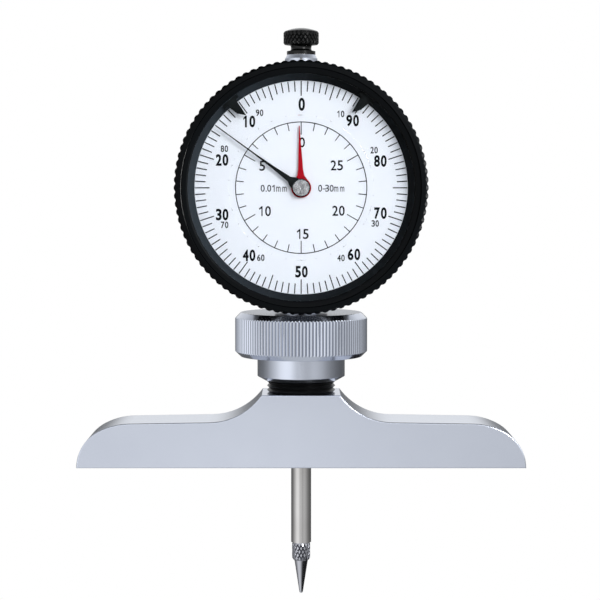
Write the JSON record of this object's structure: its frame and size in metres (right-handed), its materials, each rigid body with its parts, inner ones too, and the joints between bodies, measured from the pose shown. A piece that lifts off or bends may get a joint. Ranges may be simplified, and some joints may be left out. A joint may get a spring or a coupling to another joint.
{
  "type": "dial depth gauge",
  "caption": "Dial depth gauge: round clock dial with limit markers on a stem, clamped by a knurled nut to a bridge-shaped base that a needle-tipped spindle passes through.",
  "frame": {"origin": "middle of the base's measuring face, on the spindle's axis", "axes": "+Z along the spindle, up from the measuring face towards the dial; +X along the base; the dial faces -Y"},
  "size_m": [0.1016, 0.0302, 0.1295],
  "materials": {
    "ground_steel": "satin",
    "black_steel": "matte black oxide",
    "satin_chrome": "satin",
    "case_black": "satin",
    "bright_steel": "polished",
    "brass": "brushed",
    "ruby": "polished",
    "spring_steel": "drawn",
    "spindle_steel": "ground",
    "pointer_black": "matte",
    "pointer_red": "matte",
    "bezel_black": "satin",
    "crystal_clear": "polished",
    "dial_white": "matte",
    "dial_ink": "matte print",
    "aluminium": "turned",
    "marker_black": "matte"
  },
  "bodies": {
    "base": {"base": "ground_steel", "threaded_sleeve": "black_steel"},
    "clamp_nut": {"clamp_nut": "satin_chrome"},
    "head": {"case_body": "case_black", "stem": "ground_steel", "lower_bush": "brass", "upper_bush": "satin_chrome", "back_cover": "case_black", "back_cover_screws": "bright_steel", "front_plate": "brass", "rear_plate": "brass", "front_pillars": "brass", "rear_pillars": "brass", "plate_screws": "bright_steel", "centre_bush": "brass", "bearing_jewels": "ruby", "guide_strip": "bright_steel", "guide_strip_screws": "bright_steel", "spring_post": "bright_steel", "return_spring": "spring_steel", "hairspring": "spring_steel", "hairspring_stud": "brass", "retaining_ring": "spring_steel"},
    "spindle": {"spindle": "spindle_steel", "contact_point": "bright_steel", "lift_knob": "black_steel", "guide_pin": "bright_steel"},
    "rack_gear": {"rack_pinion_arbor": "bright_steel", "rack_wheel": "brass", "counter_pinion": "bright_steel"},
    "centre_gear": {"centre_arbor": "bright_steel", "long_pointer": "pointer_black", "pointer_cap": "satin_chrome"},
    "counter_gear": {"counter_wheel": "brass", "counter_tube": "brass", "counter_pointer": "pointer_red"},
    "backlash_gear": {"hairspring_wheel": "brass", "hairspring_arbor": "bright_steel"},
    "bezel": {"bezel": "bezel_black", "crystal": "crystal_clear", "dial": "dial_white", "dial_graduations": "dial_ink", "dial_ring": "aluminium"},
    "left_marker": {"left_limit_marker": "marker_black"},
    "right_marker": {"right_limit_marker": "marker_black"}
  },
  "joints": [
    {"name": "clamp_nut_turn", "type": "hinge", "parent": "base", "child": "clamp_nut", "pos_m": [0, 0, 0.02958], "axis": [0, 0, 1], "range_deg": [0, 360]},
    {"name": "head_swivel", "type": "hinge", "parent": "base", "child": "head", "pos_m": [0, 0, 0.025], "axis": [0, 0, 1], "continuous": true},
    {"name": "spindle_slide", "type": "slide", "parent": "head", "child": "spindle", "axis": [0, 0, 1], "range_m": [0, 0.0303], "stiffness_N_per_m": 50, "springref_m": -0.02, "deforming": ["return_spring"]},
    {"name": "rack_pinion_spin", "type": "hinge", "parent": "head", "child": "rack_gear", "pos_m": [-0.00311, -0.0053, 0.05261], "axis": [0, 1, 0], "range_deg": [-1092, 2]},
    {"name": "long_pointer_spin", "type": "hinge", "parent": "head", "child": "centre_gear", "pos_m": [0, -0.0053, 0.06318], "axis": [0, 1, 0], "range_deg": [-10, 10918]},
    {"name": "counter_pointer_spin", "type": "hinge", "parent": "head", "child": "counter_gear", "pos_m": [0, -0.0064, 0.06318], "axis": [0, 1, 0], "range_deg": [-1, 365]},
    {"name": "backlash_wheel_spin", "type": "hinge", "parent": "head", "child": "backlash_gear", "pos_m": [0.00779, -0.0053, 0.07097], "axis": [0, 1, 0], "range_deg": [-1092, 2]},
    {"name": "bezel_turn", "type": "hinge", "parent": "head", "child": "bezel", "pos_m": [0, -0.01, 0.06318], "axis": [0, 1, 0], "continuous": true},
    {"name": "left_marker_turn", "type": "hinge", "parent": "bezel", "child": "left_marker", "pos_m": [0, -0.01087, 0.06318], "axis": [0, 1, 0], "range_deg": [-120, 30]},
    {"name": "right_marker_turn", "type": "hinge", "parent": "bezel", "child": "right_marker", "pos_m": [0, -0.01087, 0.06318], "axis": [0, 1, 0], "range_deg": [-30, 120]}
  ],
  "couplings": [
    {"joint": "rack_pinion_spin", "follows": "spindle_slide", "rad_per_m": -628.32},
    {"joint": "long_pointer_spin", "follows": "spindle_slide", "rad_per_m": 6283.2},
    {"joint": "counter_pointer_spin", "follows": "spindle_slide", "rad_per_m": 209.44},
    {"joint": "backlash_wheel_spin", "follows": "spindle_slide", "rad_per_m": -628.32}
  ]
}
